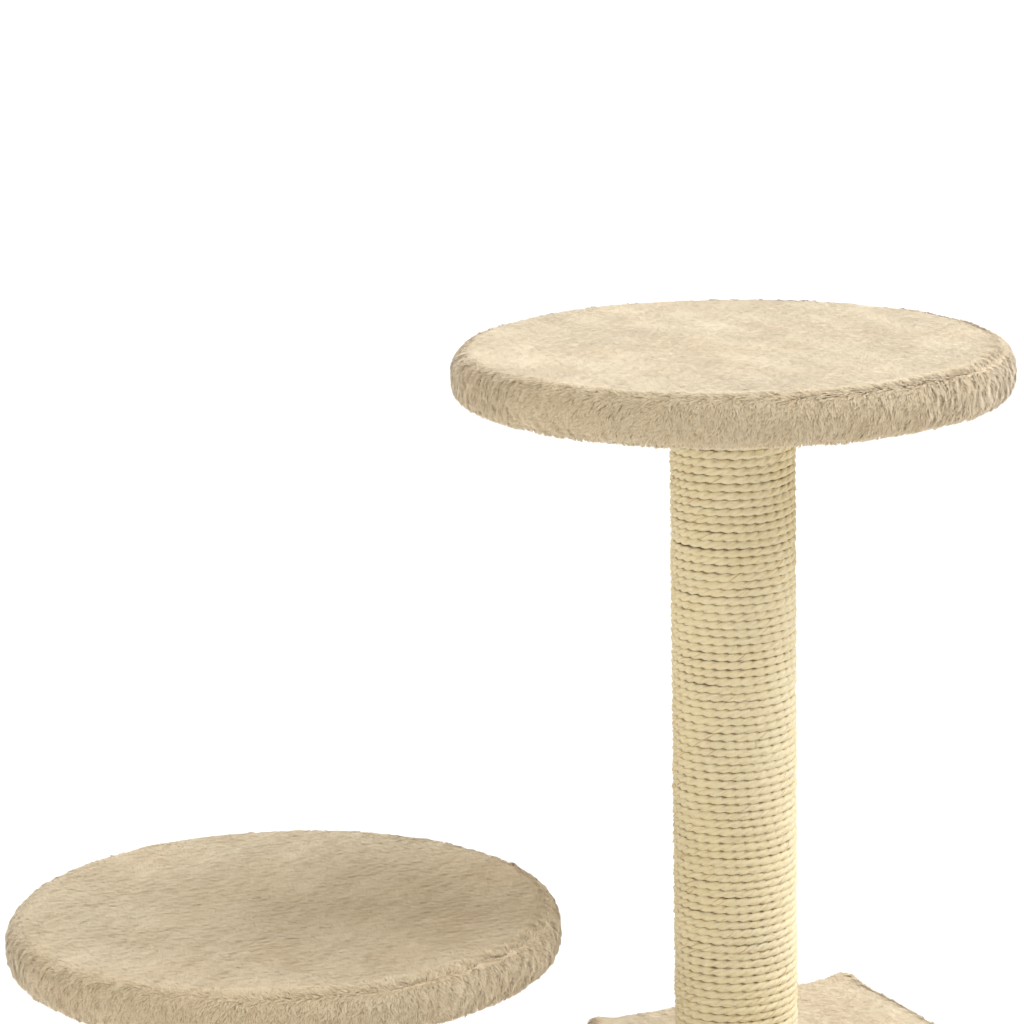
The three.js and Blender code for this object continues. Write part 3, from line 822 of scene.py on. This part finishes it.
def make_base_cover(seed):
    """One cloth over the whole base, squeezed flat where the condo's walls stand on it."""
    low, high = (np.array(v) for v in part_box("base_cover"))
    edge = 8 * MM
    inset = edge + PILE_INSET
    loop, out = rounded_rectangle(low + inset, high - inset, 6 * MM)
    top = high[2] - PILE_INSET
    flat, faces = filled([loop, post_hole("lower_post")], 4 * MM)
    profile = edge_profile(FLOOR_CLEARANCE + low[2] - top, edge, 4 * MM, 4 * MM)
    points, faces = skirted(flat3(flat, top), faces, len(loop), flat3(out, 0), profile)
    clear = np.full(len(points), 1.0)
    for panel in WALL_PANELS:
        clear = np.minimum(clear, outside(points, *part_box(panel)))
    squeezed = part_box("condo_front_panel")[0][2] - CLOTH_GAP
    over = np.maximum(points[:, 2] - squeezed, 0) * (1 - smooth_step(clear / (7 * MM)))
    points[:, 2] -= over
    plush = Plush("base_plush", "base", points, faces, seed)
    plush.ruffle(fine=0)
    a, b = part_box("condo_front_panel")[0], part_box("condo_back_panel")[1]

    def free(points, normals):
        return np.where(outside(points, a, b) > 8 * MM, 1.0, 0.0)

    def open_top(points, normals):
        return on_top(points, normals) * free(points, normals)

    def rim(points, normals):
        below = np.where(points[:, 2] < top - 2 * MM, 1, 0)
        return on_side(points, normals) * below * np.maximum(free(points, normals), 0.9)

    def den_floor(points, normals):
        inset = 14 * MM
        flat = points[:, :2]
        inside = ((flat > np.array(a[:2]) + inset) & (flat < np.array(b[:2]) - inset)).all(1)
        return on_top(points, normals) * np.where(inside, 1.0, 0.0)

    plush.grow(1.6, open_top, length=4.2, width=0.55, fluff=0.45, spread=1.3)
    plush.grow(1.0, rim, width=0.7)
    plush.grow(0.4, den_floor, width=0.9)
    spare = 90 * MM
    wide, deep = size("base_cover")[:2] + spare
    plush.finish((wide, deep), wide * deep, ["base_board"], ["base_cover"])


SEAM_DEPTH = 1.6 * MM
SEAM_WIDTH = 3 * MM
RIM_ROLL = 3.4 * MM  # the radius of the cloth's roll into the entrance


def make_wall_wrap(seed):
    """One cloth round the condo's four walls, with its seam at the back and the entrance cut in front."""
    low = np.min([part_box(c)[0] for c in WALL_COVERS], axis=0)
    high = np.max([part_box(c)[1] for c in WALL_COVERS], axis=0)
    loop, out = rounded_rectangle(low + PILE_INSET, high - PILE_INSET, 7 * MM, 1.5 * MM)
    back = np.argmax(loop[:, 1] * 10 - np.abs(loop[:, 0] - low[0] - 40 * MM))
    loop, out = np.roll(loop, -back, 0), np.roll(out, -back, 0)
    loop, out = np.vstack([loop, loop[:1]]), np.vstack([out, out[:1]])
    along = np.concatenate([[0], np.cumsum(np.hypot(*np.diff(loop, axis=0).T))])
    around = along[-1]
    hole_at = middle("entrance_lining")
    radius = size("entrance_lining")[0] / 2 + 3.2 * MM
    front = np.argmin(loop[:, 1] * 10 + np.abs(loop[:, 0] - hole_at[0]))
    sheet, _ = rounded_rectangle((0, low[2]), (around, high[2]), 0.5 * MM)
    hole = circle((along[front] + hole_at[0] - loop[front, 0], hole_at[2]), radius)
    flat, faces = filled([sheet, hole], 4 * MM)

    def wrapped(flat):
        u = flat[:, 0]
        place = np.column_stack([np.interp(u, along, loop[:, k]) for k in (0, 1)])
        way = np.column_stack([np.interp(u, along, out[:, k]) for k in (0, 1)])
        way /= np.linalg.norm(way, axis=1)[:, None]
        seam = np.exp(-((np.minimum(u, around - u) / SEAM_WIDTH) ** 2))
        return np.column_stack([place + way * (-SEAM_DEPTH * seam)[:, None], flat[:, 1]])

    points = wrapped(flat)
    first = len(sheet)
    rim = np.arange(first, first + len(hole))
    centre = np.array([hole_at[0], 0, hole_at[2]])
    inward = (points[rim] - centre) * [1, 0, 1]
    inward /= -np.linalg.norm(inward, axis=1)[:, None]
    rings, quads = [], []
    for k, (o, back_by) in enumerate(arc((0, 0), RIM_ROLL, -90, 0, 5)[1:]):
        rings.append(points[rim] + inward * o + np.array([0, 1, 0]) * (RIM_ROLL + back_by))
        a = rim if k == 0 else len(points) + (k - 1) * len(rim) + np.arange(len(rim))
        b = len(points) + k * len(rim) + np.arange(len(rim))
        quads.append(np.column_stack([a, np.roll(a, -1), np.roll(b, -1), b]))
    points = np.concatenate([points, *rings])
    plush = Plush("condo_wall_plush", "base", points, [faces, np.concatenate(quads)], seed)
    plush.ruffle()
    plush.grow(0.65, everywhere, length=5.4, width=0.75, fluff=1.0)
    tall = high[2] - low[2]
    plush.finish((around, tall), around * tall, WALL_PANELS, WALL_COVERS)


def make_entrance_lining(seed):
    """The cloth's cut edge, folded back through the entrance."""
    low, high = (np.array(v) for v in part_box("entrance_lining"))
    centre = (low + high) / 2
    radius = (high[0] - low[0]) / 2 - 1.2 * MM
    count = 150
    turn = np.arange(count) * 2 * math.pi / count
    depths = np.linspace(low[1] + 1 * MM, high[1], 8)
    x, z = centre[0] + radius * np.cos(turn), centre[2] + radius * np.sin(turn)
    points = np.concatenate([np.column_stack([x, np.full(count, y), z]) for y in depths])
    quads = tube_quads(count, len(depths))
    plush = Plush("entrance_lining_plush", "base", points, [quads], seed)
    plush.grow(1.0, everywhere, length=4, width=0.7, fluff=0.8)
    cut = (2 * math.pi * radius, 20 * MM)
    plush.finish(cut, cut[0] * cut[1], ["condo_front_panel"], ["entrance_lining"])


make_perch("upper_perch", 1000, 3.4, 0.15)
make_perch("lower_perch", 2000, 4.0, 0.55)
make_roof_cover(3000)
make_base_cover(4000)
make_wall_wrap(5000)
make_entrance_lining(6000)


# ---- Sisal --------------------------------------------------------------------------------------------

ROPE_PITCH = 4.4 * MM
ROPE_STEPS = 120  # a turn
ROPE_LAY = 21 * MM  # one full twist of the strands
STRANDS = 3
ROPE_PIECES = 2  # for each post
ROPE_START = 0.75 * math.pi  # faces the staple


def rope_section():
    """One strand's share of the rope's outline: angles in turns, radii over the rope's own radius."""
    angle = np.arange(6) / (6 * STRANDS)
    radius = np.array([0.70, 0.86, 0.97, 1.0, 0.97, 0.86])
    angles = np.concatenate([angle + s / STRANDS for s in range(STRANDS)])
    return angles * 2 * math.pi, np.tile(radius, STRANDS)


def make_winding(post, seed):
    node = f"{post}_sisal_winding"
    low, high = (np.array(v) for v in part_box(node))
    centre = (low + high) / 2
    outer = (high[0] - low[0]) / 2
    thick = ROPE_PITCH / 2 * 1.2
    run = outer - thick
    turns = (high[2] - low[2] - 2 * thick) / ROPE_PITCH
    steps = int(turns * ROPE_STEPS)
    for half in range(ROPE_PIECES):
        first, last = steps * half // ROPE_PIECES, steps * (half + 1) // ROPE_PIECES
        step = np.arange(first, last + 1)
        name = f"{post}_rope_{half + 1}"
        replaced = None if half else node
        add_rope(name, step, centre, low[2] + thick, run, thick, post, seed, replaced)
    add_strays(post, centre, low[2], high[2], outer, seed)


def add_rope(name, step, centre, foot, run, thick, body, seed, replaced):
    angles, radii = rope_section()
    turn = step / ROPE_STEPS * 2 * math.pi + ROPE_START
    height = foot + step / ROPE_STEPS * ROPE_PITCH
    along = step / ROPE_STEPS * 2 * math.pi * run
    spot = np.column_stack([np.cos(turn), np.sin(turn), height / run])
    own = np.column_stack([along, 0 * along, 0 * along])
    loose = smooth_step(0.45 + 0.6 * waves(spot * run, 0.09, seed + 4))
    height = height + 0.2 * MM * waves(spot * run, 0.05, seed)
    height = height + 0.42 * MM * loose * waves(own, 0.05, seed + 5)
    swell = 1 + 0.06 * waves(own, 0.03, seed + 1)
    sink = 0.22 * MM * waves(own, 0.04, seed + 2)
    twist = along / ROPE_LAY * 2 * math.pi + 0.5 * waves(spot * run, 0.04, seed + 3)
    theta = twist[:, None] + angles[None, :]
    reach = thick * swell[:, None] * radii[None, :]
    out = run + sink[:, None] + reach * np.cos(theta)
    up = height[:, None] + reach * np.sin(theta)
    points = np.stack(
        [centre[0] + out * np.cos(turn)[:, None], centre[1] + out * np.sin(turn)[:, None], up], -1
    )
    rings, sides = points.shape[:2]
    quads = tube_quads(sides, rings)
    ends = [np.arange(sides)[None, ::-1], np.arange(sides)[None, :] + (rings - 1) * sides]
    made = add_mesh(name, points.reshape(-1, 3), [quads, *ends], SISAL)
    ring_u = np.tile(np.cos(angles), rings)
    ring_v = np.tile(np.sin(angles), rings)
    lengths = np.repeat(along / MM, sides)
    add_attribute(made, "fibre", np.column_stack([lengths, ring_u, ring_v]))
    # crest: how far out on its strand each point lies; the material paints shade into the grooves from it
    add_attribute(made, "crest", (radii[None, :] * np.cos(theta)).reshape(-1))
    across = step[quads // sides] / ROPE_STEPS
    turns = (step[-1] - step[0]) / ROPE_STEPS + 1
    base = np.floor(step[(quads // sides).min(1)] / ROPE_STEPS)[:, None]
    share = (quads % sides) / sides
    share = np.where((quads % sides == 0) & ((quads % sides).max(1) == sides - 1)[:, None], 1.0, share)
    u = across - base
    v = (base - math.floor(step[0] / ROPE_STEPS) + share) / (turns + 1)
    flat = np.stack([u.reshape(-1), v.reshape(-1)], 1) * 0.98
    flat = np.concatenate([flat, np.full((2 * sides, 2), 0.99)])
    add_bake_map(made, flat)
    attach(made, body)
    if replaced:
        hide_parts(replaced)


def add_strays(post, centre, foot, head, outer, seed):
    """Loose fibres that stand out of the rope."""
    draw = np.random.default_rng(seed + 50)
    number = 7000
    turn = draw.uniform(0, 2 * math.pi, number)
    out = np.column_stack([np.cos(turn), np.sin(turn), np.zeros(number)])
    round_it = np.column_stack([-np.sin(turn), np.cos(turn), np.zeros(number)])
    root = centre * [1, 1, 0] + out * (outer - 0.35 * MM)
    root[:, 2] = draw.uniform(foot + 4 * MM, head - 6 * MM, number)
    long = draw.uniform(3, 11, number) * MM
    way = round_it * draw.choice([-1, 1], number)[:, None] + draw.normal(0, 0.22, (number, 3))
    way /= np.linalg.norm(way, axis=1)[:, None]
    lift = draw.uniform(0.0, 0.75, number) ** 3
    bend = root + way * (0.5 * long)[:, None] + out * (0.9 * lift * long + 0.45 * MM)[:, None]
    tip = root + way * long[:, None] + out * (1.2 * lift * long - 0.05 * long)[:, None]
    half = np.cross(way, out) * (0.07 * MM)
    points = np.stack([root - half, root + half, bend - half, bend + half, tip], 1)
    made = tuft_piece(f"{post}_stray_fibres", points, None, draw.random(number), root, STRAY)
    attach(made, post)


for post, first_seed in (("upper_post", 300), ("lower_post", 400)):
    make_winding(post, first_seed)


# ---- Studio -------------------------------------------------------------------------------------------


def sun(name, azimuth, elevation, softness, power, colour=(1, 1, 1)):
    """A soft light from far off. azimuth is anticlockwise from +X, all in degrees."""
    light = bpy.data.lights.new(name, "SUN")
    light.energy = power
    light.color = colour
    light.angle = math.radians(softness)
    made = bpy.data.objects.new(name, light)
    bpy.context.scene.collection.objects.link(made)
    a, e = math.radians(azimuth), math.radians(elevation)
    towards = Vector((math.cos(a) * math.cos(e), math.sin(a) * math.cos(e), math.sin(e)))
    made.rotation_euler = towards.to_track_quat("Z", "Y").to_euler()


TABLE = (0.45, 0.41, 0.36)  # the tree stands on this, with white paper beyond


def make_studio():
    scene = bpy.context.scene
    scene.view_settings.view_transform = "Standard"
    scene.world = bpy.data.worlds.new("studio")
    scene.world.use_nodes = True
    background = scene.world.node_tree.nodes["Background"]
    background.inputs["Color"].default_value = (1, 0.93, 0.8, 1)
    background.inputs["Strength"].default_value = 0.6
    n = Nodes("studio_floor")
    paper = n.noise(n.place(), 3, 2)
    away = n.node("ShaderNodeVectorMath", "Value", {"Vector": n.place()}, operation="LENGTH")
    far = n.math("MULTIPLY", away, 0.4)
    floor_colour = n.finish(
        Base_Color=n.mix(n.ramp(far, (0.14, 0.0), (0.38, 1.0)), TABLE, n.ramp(paper, (0, 0.94), (1, 0.96))),
        Roughness=0.9,
    )
    reach = 60
    points = np.array([[-reach, -reach, 0], [reach, -reach, 0], [reach, reach, 0], [-reach, reach, 0]])
    floor = add_mesh("floor", points, [np.array([[0, 1, 2, 3]])], floor_colour)
    sun("key_light", -18, 52, 50, 3.3, (0.96, 1.0, 1.12))
    sun("left_light", 188, 25, 60, 0.8)


make_studio()
paint_cad_nodes()
